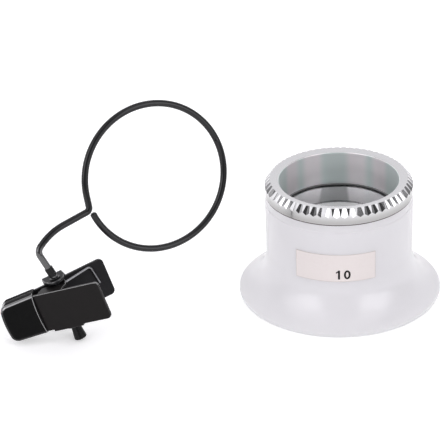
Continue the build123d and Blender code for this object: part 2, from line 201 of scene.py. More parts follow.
class Recipe:
    """One node-based material with a Principled surface."""

    def __init__(self, name: str, **uniform: float | Colour) -> None:
        """Start a material.

        Args:
            name: the material's name.
            uniform: values that are the same all over, by socket name with _ for a space.
        """
        self.material = bpy.data.materials.new(name)
        self.material.use_nodes = True
        self.tree = self.material.node_tree
        self.tree.nodes.clear()
        self.output = self.node("ShaderNodeOutputMaterial")
        self.surface = self.node("ShaderNodeBsdfPrincipled")
        self.show(self.surface)
        for key, value in uniform.items():
            socket = self.surface.inputs[key.replace("_", " ")]
            socket.default_value = (*value, 1.0) if socket.type == "RGBA" else value

    @classmethod
    def on_tree(cls, tree: bpy.types.NodeTree) -> "Recipe":
        """Return a recipe that writes on an empty node tree, such as a world's."""
        recipe = cls.__new__(cls)
        recipe.tree = tree
        recipe.output = recipe.node("ShaderNodeOutputWorld")
        return recipe

    def link(self, source: Signal | Socket, socket: Socket) -> None:
        """Link a signal or an output socket to an input socket."""
        self.tree.links.new(source.socket if isinstance(source, Signal) else source, socket)

    def show(self, shader: bpy.types.Node) -> None:
        """Make a shader node the one that the surface shows."""
        self.link(shader.outputs[0], self.output.inputs["Surface"])

    def node(
        self, kind: str, settings: dict | None = None, inputs: dict | None = None
    ) -> bpy.types.Node:
        """Add a node.

        Args:
            kind: the node's type.
            settings: its settings, made first.
            inputs: numbers, colours, sockets or signals by socket name or number.

        Returns:
            The new node.
        """
        node = self.tree.nodes.new(kind)
        for key, value in (settings or {}).items():
            setattr(node, key, value)
        for key, value in (inputs or {}).items():
            socket = node.inputs[key]
            if isinstance(value, (Signal, Socket)):
                self.link(value, socket)
            else:
                socket.default_value = (*value, 1.0) if socket.type == "RGBA" else value
        return node

    def either(
        self, share: Signal | float, first: bpy.types.Node, second: bpy.types.Node
    ) -> bpy.types.Node:
        """Return a Mix Shader that goes from the first shader to the second with the share."""
        inputs = {0: share, 1: first.outputs[0], 2: second.outputs[0]}
        return self.node("ShaderNodeMixShader", None, inputs)

    def let_light_through(self, share: float, colour: Colour) -> None:
        """Mix a share of translucency of a colour into the surface."""
        through = self.node("ShaderNodeBsdfTranslucent", None, {"Color": colour})
        self.show(self.either(share, self.surface, through))

    def ray(self, kind: str) -> Signal:
        """Return 1 where a ray is of a kind, such as Is Camera Ray, and 0 elsewhere."""
        return Signal(self, self.node("ShaderNodeLightPath").outputs[kind])

    def place(self) -> Socket:
        """Return the Object coordinates, in metres in the shared frame."""
        return self.node("ShaderNodeTexCoord").outputs["Object"]

    def split(self, vector: Socket) -> tuple[Signal, Signal, Signal]:
        """Return a vector's three parts."""
        node = self.node("ShaderNodeSeparateXYZ", None, {0: vector})
        return tuple(Signal(self, out) for out in node.outputs)

    def axes(self) -> tuple[Signal, Signal, Signal]:
        """Return the place's three coordinates in millimetres."""
        return tuple(part * (1 / MM) for part in self.split(self.place()))

    def noise(
        self, size_mm: float, detail: float = 2.0, stretch: Colour | None = None
    ) -> Signal:
        """Return a cloudy noise.

        Args:
            size_mm: the size of its spots in millimetres.
            detail: how many finer layers it has.
            stretch: how much finer the pattern is along each axis, if not the same.

        Returns:
            The noise from 0 to 1.
        """
        vector = self.place()
        if stretch is not None:
            inputs = {"Vector": vector, "Scale": stretch}
            vector = self.node("ShaderNodeMapping", None, inputs).outputs[0]
        inputs = {"Vector": vector, "Scale": 1 / (size_mm * MM), "Detail": detail}
        return Signal(self, self.node("ShaderNodeTexNoise", None, inputs).outputs[0])

    def mix(self, factor: Signal, low: Colour | Socket, high: Colour | Socket) -> Socket:
        """Return the colour that goes from low to high as the factor goes from 0 to 1."""
        inputs = {"Factor": factor, MIX_LOW: low, MIX_HIGH: high}
        return self.node("ShaderNodeMix", {"data_type": "RGBA"}, inputs).outputs[MIX_RESULT]

    def paint(self, **sockets: Signal | Socket) -> None:
        """Link varying values to the surface's sockets, by name with _ for a space."""
        for key, value in sockets.items():
            self.link(value, self.surface.inputs[key.replace("_", " ")])

    def facing(self, way: Array) -> Signal:
        """Return the cosine of the angle between the surface's normal and a direction."""
        normal = self.node("ShaderNodeTexCoord").outputs["Normal"]
        inputs = {0: normal, 1: tuple(way)}
        node = self.node("ShaderNodeVectorMath", {"operation": "DOT_PRODUCT"}, inputs)
        return Signal(self, node.outputs["Value"])

    def edge_shine(self, flats: Array, least: float = 0.15) -> Signal:
        """Return a mask that is 1 on the rounded edges above and 0 on the flat faces.

        Args:
            flats: the flat faces' directions, of which the last is up.
            least: the mask's value on the rounded edges that don't look up.

        Returns:
            The mask.
        """
        shine = self.facing(flats[-1]).step(*LOOKS_UP).between(least, 1.0)
        for flat in flats:
            shine = shine * self.facing(flat).step(*LEAVES_FLAT)
        return shine

    def bump(self, height: Signal, depth_mm: float, strength: float = 1.0) -> None:
        """Raise the surface's look by a height signal times a depth in millimetres."""
        inputs = {"Height": height, "Distance": depth_mm * MM, "Strength": strength}
        self.paint(Normal=self.node("ShaderNodeBump", None, inputs).outputs[0])


@dataclass(frozen=True)
class FrostedShell:
    """Frosted white plastic that lets light through, with a paler lip painted as the glow of light through
    its thin wall.
    """

    body: Colour = (0.955, 0.94, 0.965)
    # The lip's paler colour is painted light.
    lip: Colour = (0.97, 0.965, 0.975)
    lip_glow_fade: Span = (1.6, 0.2)
    through: Colour = (0.95, 0.95, 0.95)
    through_share: float = 0.2
    scatter_mm: float = 3.0
    cloud_mm: float = 9.0
    cloud_share: float = 0.35
    grain_mm: float = 0.5
    grain_depth: float = 0.003
    rough: Span = (0.3, 0.38)

    def make(self) -> bpy.types.Material:
        """Return the material."""
        recipe = Recipe(
            "frosted_shell", IOR=1.49, Coat_Weight=1.0, Coat_Roughness=0.03,
            Specular_IOR_Level=0.25, Subsurface_Weight=0.2, Subsurface_Scale=MM,
            Subsurface_Radius=(self.scatter_mm, self.scatter_mm, self.scatter_mm),
        )
        recipe.let_light_through(self.through_share, self.through)
        _, _, z = recipe.axes()
        cloud = recipe.noise(self.cloud_mm)
        # Painted light: paler towards the bottom edge, broken up by random cloud.
        painted_lip_glow = z.step(*self.lip_glow_fade) + (cloud - 0.5) * self.cloud_share
        recipe.paint(
            Base_Color=recipe.mix(painted_lip_glow, self.body, self.lip),
            Roughness=cloud.between(*self.rough),
        )
        recipe.bump(recipe.noise(self.grain_mm, FINE), self.grain_depth)
        return recipe.material


@dataclass(frozen=True)
class TurnedAluminium:
    """Polished bezel with fine lathe lines and painted shade on the band below its rim, and a duller bore
    with green and pink painted reflections in upright bands.

    Heights and radii are in millimetres, and turns in degrees either way from the back.
    """

    rim: Colour = (0.66, 0.66, 0.665)
    # The band's darker colour is painted shade that tones down the bright floor it mirrors.
    band: Colour = (0.42, 0.415, 0.41)
    rim_fade: Span = (24.9, 27.6)
    # The bore's green colour and its pink bands are painted reflections of the room.
    bore_painted_green_reflection: Colour = (0.79, 0.86, 0.845)
    bore_painted_pink_reflection: Colour = (0.98, 0.93, 0.95)
    bore_edge: Span = (13.6, 13.72)
    pink_reflection_turns: tuple[Span, ...] = ((13.0, 32.0), (40.0, 57.0))
    pink_reflection_fade: float = 5.0
    bore_rough: float = 0.42
    polish: float = 0.32
    smear_rough: float = 0.05
    smear_mm: float = 3.0
    bore_metal: float = 0.67
    line_mm: float = 0.09
    line_stretch: Colour = (0.02, 0.02, 1.0)
    line_depth: float = 0.0012
    line_strength: float = 0.6

    def make(self) -> bpy.types.Material:
        """Return the material."""
        recipe = Recipe("turned_aluminium")
        x, y, z = recipe.axes()
        outside = ((x * x + y * y) ** 0.5).step(*self.bore_edge)
        lines = recipe.noise(self.line_mm, 1.0, self.line_stretch)
        smear = recipe.noise(self.smear_mm)
        turn = abs(x.bearing(y))
        # Pink painted reflections in upright bands by turn from the back, over the green painted reflection.
        pink_reflection = sum(turn.within(*span, self.pink_reflection_fade) for span in self.pink_reflection_turns)
        bore = recipe.mix(pink_reflection, self.bore_painted_green_reflection, self.bore_painted_pink_reflection)
        # Painted shade: the band below the rim is darker than the rim.
        metal = recipe.mix(z.step(*self.rim_fade), self.band, self.rim)
        recipe.paint(
            Base_Color=recipe.mix(outside, bore, metal),
            Roughness=self.bore_rough - outside * self.polish + smear * self.smear_rough,
            Metallic=outside.between(self.bore_metal, 1.0),
        )
        recipe.bump(lines, self.line_depth, self.line_strength)
        return recipe.material


@dataclass(frozen=True)
class PaleSpacer:
    """Satin silver ring with painted shade at its back, seen through the top lens."""

    pale: Colour = (0.99, 0.98, 1.0)
    painted_shade: Colour = (0.5, 0.5, 0.51)
    painted_shade_turn: Span = (11.5, 15.0)
    smear_mm: float = 2.0
    rough: Span = (0.3, 0.4)

    def make(self) -> bpy.types.Material:
        """Return the material."""
        recipe = Recipe("pale_spacer", Metallic=1.0)
        x, y, _ = recipe.axes()
        # Painted shade at the back of the ring, which the top lens shows as a darker middle.
        painted_shade_mask = abs(x.bearing(y)).step(*self.painted_shade_turn)
        recipe.paint(
            Base_Color=recipe.mix(painted_shade_mask, self.painted_shade, self.pale),
            Roughness=recipe.noise(self.smear_mm).between(*self.rough),
        )
        return recipe.material


@dataclass(frozen=True)
class LensGlass:
    """Clear glass with a faint lilac and green film."""

    lilac: Colour = (0.985, 0.98, 1.0)
    green: Colour = (0.99, 1.0, 0.99)
    film_mm: float = 6.0
    film_rough: float = 0.02

    def make(self) -> bpy.types.Material:
        """Return the material."""
        recipe = Recipe("lens_glass", Transmission_Weight=1.0, IOR=1.5)
        film = recipe.noise(self.film_mm, 1.0)
        recipe.paint(
            Base_Color=recipe.mix(film, self.lilac, self.green), Roughness=film * self.film_rough
        )
        return recipe.material


@dataclass(frozen=True)
class LabelPaper:
    """Pale glossy label with a faint printed border (millimetres and degrees)."""

    paper: Colour = (0.83, 0.76, 0.74)
    fibres: Colour = (0.86, 0.8, 0.78)
    border: Colour = (0.66, 0.6, 0.58)
    foot: float = 10.7
    height: float = 6.75
    turn: float = -7.5
    sweep: float = 63.0
    radius: float = 16.84
    margin: float = 0.16
    fibre_mm: float = 0.6
    fibre_depth: float = 0.003
    rough: Span = (0.35, 0.45)

    def near_edge(self, distance: Signal, half: float) -> Signal:
        """Return a mask of the border, from the distance to the middle and its greatest."""
        return distance.step(half - self.margin, half - self.margin / 2)

    def make(self) -> bpy.types.Material:
        """Return the material."""
        recipe = Recipe(
            "label_paper", Coat_Weight=0.4, Coat_Roughness=0.1, Specular_IOR_Level=0.4
        )
        x, y, z = recipe.axes()
        degree = self.radius / DEGREES
        across = abs(x.bearing(-y) - self.turn) * degree
        up = abs(z - (self.foot + self.height / 2))
        border = self.near_edge(across, self.sweep / 2 * degree)
        border = border | self.near_edge(up, self.height / 2)
        fibre = recipe.noise(self.fibre_mm, FINE)
        paper = recipe.mix(fibre, self.paper, self.fibres)
        recipe.paint(
            Base_Color=recipe.mix(border, paper, self.border),
            Roughness=fibre.between(*self.rough),
        )
        recipe.bump(fibre, self.fibre_depth)
        return recipe.material


class Grain(Enum):
    """How rough a black finish looks close up: its grain's size and depth in millimetres."""

    SMOOTH = (0.35, 0.002)
    TEXTURED = (0.22, 0.010)
    MOULDED = (0.5, 0.004)


@dataclass(frozen=True)
class BlackFinish:
    """A black painted, coated or moulded surface with a little cloudiness and grain."""

    name: str
    tone: Colour = (0.005, 0.005, 0.005)
    worn: Colour = (0.012, 0.012, 0.012)
    roughness: float = 0.36
    grain: Grain = Grain.SMOOTH
    coat: float = 0.0
    coat_roughness: float = 0.2
    specular: float = 0.12
    coat_ior: float = 1.5
    cloud_mm: float = 2.5
    cloud_rough: float = 0.06

    def make(self, flats: Array | None = None) -> bpy.types.Material:
        """Return the material.

        Args:
            flats: the directions of the flat faces that stay dull, up last, if the edges shine.

        Returns:
            The material.
        """
        size, depth = self.grain.value
        recipe = Recipe(
            self.name, Coat_Weight=self.coat, Coat_Roughness=self.coat_roughness,
            Specular_IOR_Level=self.specular, Coat_IOR=self.coat_ior,
        )
        cloud = recipe.noise(self.cloud_mm)
        grain = recipe.noise(size, FINE)
        recipe.paint(
            Base_Color=recipe.mix(cloud * grain, self.tone, self.worn),
            Roughness=cloud.between(
                self.roughness - self.cloud_rough, self.roughness + self.cloud_rough
            ),
        )
        if flats is not None:
            recipe.paint(Coat_Weight=recipe.edge_shine(flats) * self.coat)
        recipe.bump(grain, depth)
        return recipe.material


@dataclass(frozen=True)
class WireCoat:
    """Black dipped coating on the wire, glossier low on the shank (millimetres)."""

    tone: Colour = (0.004, 0.004, 0.005)
    worn: Colour = (0.008, 0.008, 0.009)
    gloss: float = 0.22
    shank_x: Span = (-59.0, -61.0)
    shank_top: Span = (23.0, 21.5)
    cloud_mm: float = 2.5
    rough: Span = (0.3, 0.4)

    def make(self) -> bpy.types.Material:
        """Return the material."""
        recipe = Recipe("wire_coat", Coat_Roughness=0.06, Coat_IOR=2.0, Specular_IOR_Level=0.12)
        x, _, z = recipe.axes()
        cloud = recipe.noise(self.cloud_mm)
        shank = x.step(*self.shank_x) * z.step(*self.shank_top)
        recipe.paint(
            Base_Color=recipe.mix(cloud, self.tone, self.worn),
            Roughness=cloud.between(*self.rough),
            Coat_Weight=shank.between(self.gloss, 1.0),
        )
        return recipe.material


@dataclass(frozen=True)
class SpringSteel:
    """Bright drawn steel wire."""

    bright: Colour = (0.3, 0.3, 0.31)
    dull: Colour = (0.16, 0.16, 0.17)
    streak_mm: float = 0.3
    rough: Span = (0.2, 0.35)

    def make(self) -> bpy.types.Material:
        """Return the material."""
        recipe = Recipe("spring_steel", Metallic=1.0)
        streak = recipe.noise(self.streak_mm)
        recipe.paint(
            Base_Color=recipe.mix(streak, self.dull, self.bright),
            Roughness=streak.between(*self.rough),
        )
        return recipe.material


@dataclass(frozen=True)
class PrintInk:
    """Near-black print."""

    ink: Colour = (0.006, 0.005, 0.005)
    thin_ink: Colour = (0.02, 0.018, 0.018)
    patch_mm: float = 0.4
    rough: Span = (0.5, 0.6)

    def make(self) -> bpy.types.Material:
        """Return the material."""
        recipe = Recipe("print_ink", Specular_IOR_Level=0.2)
        patch = recipe.noise(self.patch_mm)
        recipe.paint(
            Base_Color=recipe.mix(patch, self.ink, self.thin_ink),
            Roughness=patch.between(*self.rough),
        )
        return recipe.material


def dress(obj: bpy.types.Object, material: bpy.types.Material) -> None:
    """Give an object one material."""
    obj.data.materials.clear()
    obj.data.materials.append(material)


def mesh_from_grid(name: str, grid: Array, closed_round: bool) -> bpy.types.Object:
    """Make a mesh object from a grid of points.

    Args:
        name: the object's name.
        grid: points in metres, shape (rows, columns, 3); the faces' outer side is given by
            rows crossed into columns.
        closed_round: whether the last column joins the first.

    Returns:
        The object, linked to the scene.
    """
    rows, columns = grid.shape[:2]
    index = np.arange(rows * columns).reshape(rows, columns)
    if closed_round:
        index = np.concatenate([index, index[:, :1]], axis=1)
    corners = [index[:-1, :-1], index[1:, :-1], index[1:, 1:], index[:-1, 1:]]
    faces = np.stack(corners, axis=-1).reshape(-1, 4)
    mesh = bpy.data.meshes.new(name)
    mesh.from_pydata(grid.reshape(-1, 3).tolist(), [], faces.tolist())
    mesh.shade_smooth()
    obj = bpy.data.objects.new(name, mesh)
    bpy.context.scene.collection.objects.link(obj)
    return obj


def evened(line: Array, spacing: float) -> Array:
    """Return points of a line at most a spacing apart, by straight steps along its length."""
    steps = np.linalg.norm(np.diff(line, axis=0), axis=1)
    length = np.concatenate([[0], np.cumsum(steps)])
    keep = np.unique(np.concatenate([length, np.arange(0, length[-1], spacing)]))
    keep = keep[np.concatenate([[True], np.diff(keep) > SAME_PLACE])]
    parts = [np.interp(keep, length, line[:, i]) for i in range(line.shape[1])]
    return np.stack(parts, axis=-1)


def tube(name: str, line: Array, side: Array, radii: Array, around: int) -> bpy.types.Object:
    """Carry a circle along a line and close its two ends.

    The point at step i and turn t is line[i] + radii[i] * (cos t * side[i] + sin t * up[i]), where
    up is the line's direction crossed into side.

    Args:
        name: the object's name.
        line: the centre line's points in metres.
        side: a vector across the line at each point.
        radii: the tube's radius at each point in metres.
        around: how many points the circle has.

    Returns:
        The tube.
    """
    along = np.gradient(line, axis=0)
    along /= np.linalg.norm(along, axis=1, keepdims=True)
    side = side - (side * along).sum(1, keepdims=True) * along
    side /= np.linalg.norm(side, axis=1, keepdims=True)
    up = np.cross(along, side)
    turn = np.linspace(0, 2 * np.pi, around, endpoint=False)[None, :, None]
    ring = np.cos(turn) * side[:, None] + np.sin(turn) * up[:, None]
    grid = line[:, None] + radii[:, None, None] * ring
    obj = mesh_from_grid(name, grid[:, ::-1], closed_round=True)
    shape = bmesh.new()
    shape.from_mesh(obj.data)
    bmesh.ops.holes_fill(shape, edges=[e for e in shape.edges if e.is_boundary], sides=0)
    bmesh.ops.recalc_face_normals(shape, faces=shape.faces)
    shape.to_mesh(obj.data)
    shape.free()
    obj.data.shade_smooth()
    return obj


def has_room(edge: bmesh.types.BMEdge, width: float) -> bool:
    """Return whether an edge is sharp and convex, with faces that reach far enough from it."""
    if not edge.is_convex or edge.calc_face_angle() < SHARP_TURN:
        return False
    start, end = (vert.co for vert in edge.verts)
    along = (end - start).normalized()
    reach = (
        max((vert.co - start).cross(along).length for vert in face.verts)
        for face in edge.link_faces
    )
    return min(reach) > ROOM_IN_WIDTHS * width


def softened(node: str, width_mm: float) -> bpy.types.Object:
    """Copy a CAD node with its sharp edges rounded off a little, to stand for the node.

    Args:
        node: the CAD node's name.
        width_mm: the width of the rounding in millimetres.

    Returns:
        The copy, riding on the node's body.
    """
    source = frame["nodes"][node]
    mesh = source.data.copy()
    shape = bmesh.new()
    shape.from_mesh(mesh)
    bmesh.ops.remove_doubles(shape, verts=shape.verts, dist=MERGE_MM * MM)
    bmesh.ops.dissolve_limit(
        shape, angle_limit=FLAT_TURN, verts=shape.verts, edges=shape.edges
    )
    rounded = shape.edges.layers.float.new("bevel_weight_edge")
    for edge in shape.edges:
        edge[rounded] = float(has_room(edge, width_mm * MM))
    shape.to_mesh(mesh)
    shape.free()
    obj = bpy.data.objects.new(f"{node}_edges", mesh)
    bpy.context.scene.collection.objects.link(obj)
    mesh.shade_smooth()
    bevel = obj.modifiers.new("edge_rounding", "BEVEL")
    bevel.width = width_mm * MM
    bevel.segments = ROUNDING_FACES
    bevel.use_clamp_overlap = False
    bevel.limit_method = "WEIGHT"
    bevel.harden_normals = True
    weighted = obj.modifiers.new("flat_faces_stay_flat", "WEIGHTED_NORMAL")
    weighted.keep_sharp = True
    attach(obj, body_of(source)[0])
    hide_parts(node)
    return obj


@dataclass
class ClipPlace:
    """Where the clip's hinge pin stands, in the shared frame (millimetres and degrees)."""

    pin: tuple[float, float, float] = (-62.14, -17.5, 9.09126)
    yaw: float = 2.35
    lift: float = 18.3
    lean: float = 8.65

    def turned(self) -> Array:
        """Return the matrix whose columns are the clip's own axes."""
        turn = (
            Matrix.Rotation(math.radians(self.yaw), 3, "Z")
            @ Matrix.Rotation(math.radians(-self.lift), 3, "Y")
            @ Matrix.Rotation(math.radians(-self.lean), 3, "X")
        )
        return np.array(turn)

    def world(self, points: Array) -> Array:
        """Return clip-frame points in millimetres as shared-frame points in metres."""
        return (points @ self.turned().T + np.array(self.pin)) * MM

    def direction(self, vectors: Array) -> Array:
        """Return clip-frame directions in the shared frame."""
        return vectors @ self.turned().T


@dataclass
class PrintedFigures:
    """The plain figures on the label, laid on its curve (millimetres and degrees).

    The one's flag is flag_reach strokes long and flag_depth strokes thick, and it rises over the
    figure's top flag_drop share.
    """

    radius: float = 16.86
    foot: float = 11.35
    height: float = 2.25
    stroke: float = 0.45
    flag_reach: float = 1.5
    flag_depth: float = 0.8
    flag_drop: float = 0.2
    one_turn: float = -4.6
    nought_turn: float = 1.6
    nought_width: float = 1.5
    thickness: float = 0.015
    rows: int = 12
    nought_steps: int = 48

    def wrap(self, flat: Array, turn_deg: float) -> Array:
        """Lay flat (across, up) points on the label's cylinder.

        A point stands at the angle turn + across / radius from the front.
        """
        angle = math.radians(turn_deg) + flat[..., 0] / self.radius
        x, y = self.radius * np.sin(angle), -self.radius * np.cos(angle)
        return np.stack([x, y, self.foot + flat[..., 1]], axis=-1) * MM

    def nought(self) -> bpy.types.Object:
        """Make the nought: a band between two ellipses, (a cos t, b sin t) for each."""
        turn = np.linspace(0, 2 * np.pi, self.nought_steps, endpoint=False)
        outer = np.array([self.nought_width / 2, self.height / 2])
        reach = np.stack([outer - self.stroke, outer])
        across = reach[:, None, 0] * np.cos(turn)
        up = reach[:, None, 1] * np.sin(turn) + self.height / 2
        grid = self.wrap(np.stack([across, up], axis=-1), self.nought_turn)
        return self.thickened(mesh_from_grid("figure_nought", grid, closed_round=True))

    def one(self) -> bpy.types.Object:
        """Make the one: an upright bar and a short flag, each a strip along a straight line."""
        rows = np.linspace(0, 1, self.rows)[:, None]
        bar_edges = np.array([-self.stroke / 2, self.stroke / 2])
        bar = np.stack([bar_edges + 0 * rows, self.height * rows + 0 * bar_edges], axis=-1)
        flag_edges = np.array([0.0, -self.stroke * self.flag_depth])
        across = -self.stroke * self.flag_reach * (1 - rows) + 0 * flag_edges
        up = self.height * (1 - self.flag_drop + self.flag_drop * rows) + flag_edges
        flag = np.stack([across, up], axis=-1)
        pieces = [
            mesh_from_grid(name, self.wrap(grid, self.one_turn), closed_round=False)
            for name, grid in (("figure_one", bar), ("figure_flag", flag))
        ]
        whole = bmesh.new()
        for piece in pieces:
            whole.from_mesh(piece.data)
        whole.to_mesh(pieces[0].data)
        whole.free()
        bpy.data.objects.remove(pieces[1])
        return self.thickened(pieces[0])

    def thickened(self, figure: bpy.types.Object) -> bpy.types.Object:
        """Turn a figure's faces outwards and give it the thickness of the print."""
        shape = bmesh.new()
        shape.from_mesh(figure.data)
        shape.normal_update()
        turned = [f for f in shape.faces if f.normal.xy.dot(f.calc_center_median().xy) < 0]
        bmesh.ops.reverse_faces(shape, faces=turned)
        shape.to_mesh(figure.data)
        shape.free()
        wall = figure.modifiers.new("print_thickness", "SOLIDIFY")
        wall.thickness = self.thickness * MM
        wall.offset = -1.0
        return figure


@dataclass
class Loupe:
    """The loupe's finishes and its printed figures."""

    figures: PrintedFigures = field(default_factory=PrintedFigures)

    def build(self) -> None:
        """Dress every CAD node of the loupe and print the label."""
        fibre = BlackFinish("washer_fibre", (0.06, 0.04, 0.035), roughness=0.6)
        rubber = BlackFinish(
            "gasket_rubber", (0.2, 0.2, 0.2), (0.25, 0.25, 0.25), 0.5, Grain.MOULDED
        )
        anodised = BlackFinish("black_anodised", (0.03, 0.03, 0.03), roughness=0.4)
        glass = LensGlass().make()
        finishes = {
            "housing": FrostedShell().make(),
            "lens_barrel": TurnedAluminium().make(),
            "seal_washer": fibre.make(),
            "front_gasket": rubber.make(),
            "objective_lens": glass,
            "eye_lens": glass,
            "lens_spacer": PaleSpacer().make(),
            "retaining_ring": anodised.make(),
            "power_label": LabelPaper().make(),
        }
        for node, material in finishes.items():
            dress(frame["nodes"][node], material)
            LOG.info("dressed %s", node)
        ink = PrintInk().make()
        for figure in (self.figures.one(), self.figures.nought()):
            dress(figure, ink)
            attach(figure, "shell")
            LOG.info("printed %s", figure.name)


@dataclass
class WireArm:
    """The bent wire as one smooth tube (millimetres and degrees, in the clip's own frame)."""

    place: ClipPlace
    diameter: float = 1.5
    swivel: float = 22.7
    ring_radius: float = 16.4
    ring_centre: tuple[float, float] = (29.95, 16.64)
    ring_start_rise: float = 3.0
    ring_end_drop: float = 1.15
    shank_end_rise: float = 16.3
    foot_rise: float = -8.29
    bends: tuple[tuple[float, float, float], ...] = (
        (0.0, 6.27, 3.0),
        (-1.2, 13.22, 1.9),
        (3.06, 15.86, 13.0),
    )
    ring_bend_radius: float = 1.1
    ring_steps: int = 220
    bend_steps: float = 14.0
    fewest_steps: int = 6
    spacing: float = 1.2
    around: int = 24
    end_round: float = 0.35
    end_share: float = 0.55

    def bend(self, before: Array, at: Array, after: Array, radius: float) -> Array:
        """Return the arc that rounds a corner.

        It touches the two straight runs at radius * tan(half the turn) from the corner, and its
        points are hub + spoke turned by each angle of the sweep.
        """
        arrive = (at - before) / np.linalg.norm(at - before)
        leave = (after - at) / np.linalg.norm(after - at)
        turn = math.acos(float(np.clip(arrive @ leave, -1, 1)))
        touch = at - arrive * radius * math.tan(turn / 2)
        way = np.sign(arrive[0] * leave[1] - arrive[1] * leave[0])
        hub = touch + way * radius * np.array([-arrive[1], arrive[0]])
        steps = max(self.fewest_steps, int(turn * self.bend_steps))
        sweep = np.linspace(0, turn * way, steps)
        spoke = touch - hub
        cos, sin = np.cos(sweep), np.sin(sweep)
        turned = [cos * spoke[0] - sin * spoke[1], sin * spoke[0] + cos * spoke[1]]
        return np.stack(turned, axis=-1) + hub

    def centre_line(self) -> Array:
        """Return the (out, up) points of the centre line.

        Each corner is rounded by its bend, and the ring is centre + radius * (cos a, sin a).
        """
        centre = np.array(self.ring_centre)
        reach = self.ring_radius
        start_angle = math.pi - math.asin(self.ring_start_rise / reach)
        start = centre + reach * np.array([math.cos(start_angle), math.sin(start_angle)])
        tangent = np.array([math.sin(start_angle), -math.cos(start_angle)])
        corner = start - tangent * ((start[1] - self.shank_end_rise) / tangent[1])
        corners = [np.array(b[:2]) for b in self.bends] + [corner]
        radii = [b[2] for b in self.bends] + [self.ring_bend_radius]
        ends = [np.array([0.0, self.foot_rise]), *corners, start]
        pieces = [ends[0][None]]
        for before, at, after, radius in zip(ends, corners, ends[2:], radii):
            pieces.append(self.bend(before, at, after, radius))
        end_angle = -math.pi + math.asin(self.ring_end_drop / reach)
        angles = np.linspace(start_angle, end_angle, self.ring_steps)
        ring = np.stack([np.cos(angles), np.sin(angles)], axis=-1)
        return np.concatenate([*pieces, centre + reach * ring])

    def build(self, material: bpy.types.Material) -> None:
        """Make the tube in place of the CAD wire, with its last end_round rounded off."""
        flat = evened(self.centre_line(), self.spacing)
        turn = math.radians(self.swivel)
        out, up = flat[:, 0], flat[:, 1]
        line = np.stack([out * math.cos(turn), out * math.sin(turn), up], axis=-1)
        square = self.place.direction(np.array([[-math.sin(turn), math.cos(turn), 0.0]]))
        steps = np.linalg.norm(np.diff(flat, axis=0), axis=1)
        left = np.concatenate([np.cumsum(steps[::-1])[::-1], [0.0]])
        near_end = 1 - np.clip(left / self.end_round, 0, 1)
        share = self.end_share + (1 - self.end_share) * np.sqrt(1 - near_end**2)
        points = self.place.world(line)
        squares = np.repeat(square, len(points), 0)
        radii = self.diameter / 2 * share * MM
        wire = tube("wire_arm_tube", points, squares, radii, self.around)
        dress(wire, material)
        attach(wire, "wire")
        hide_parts("wire_arm")
        LOG.info("made %s", wire.name)


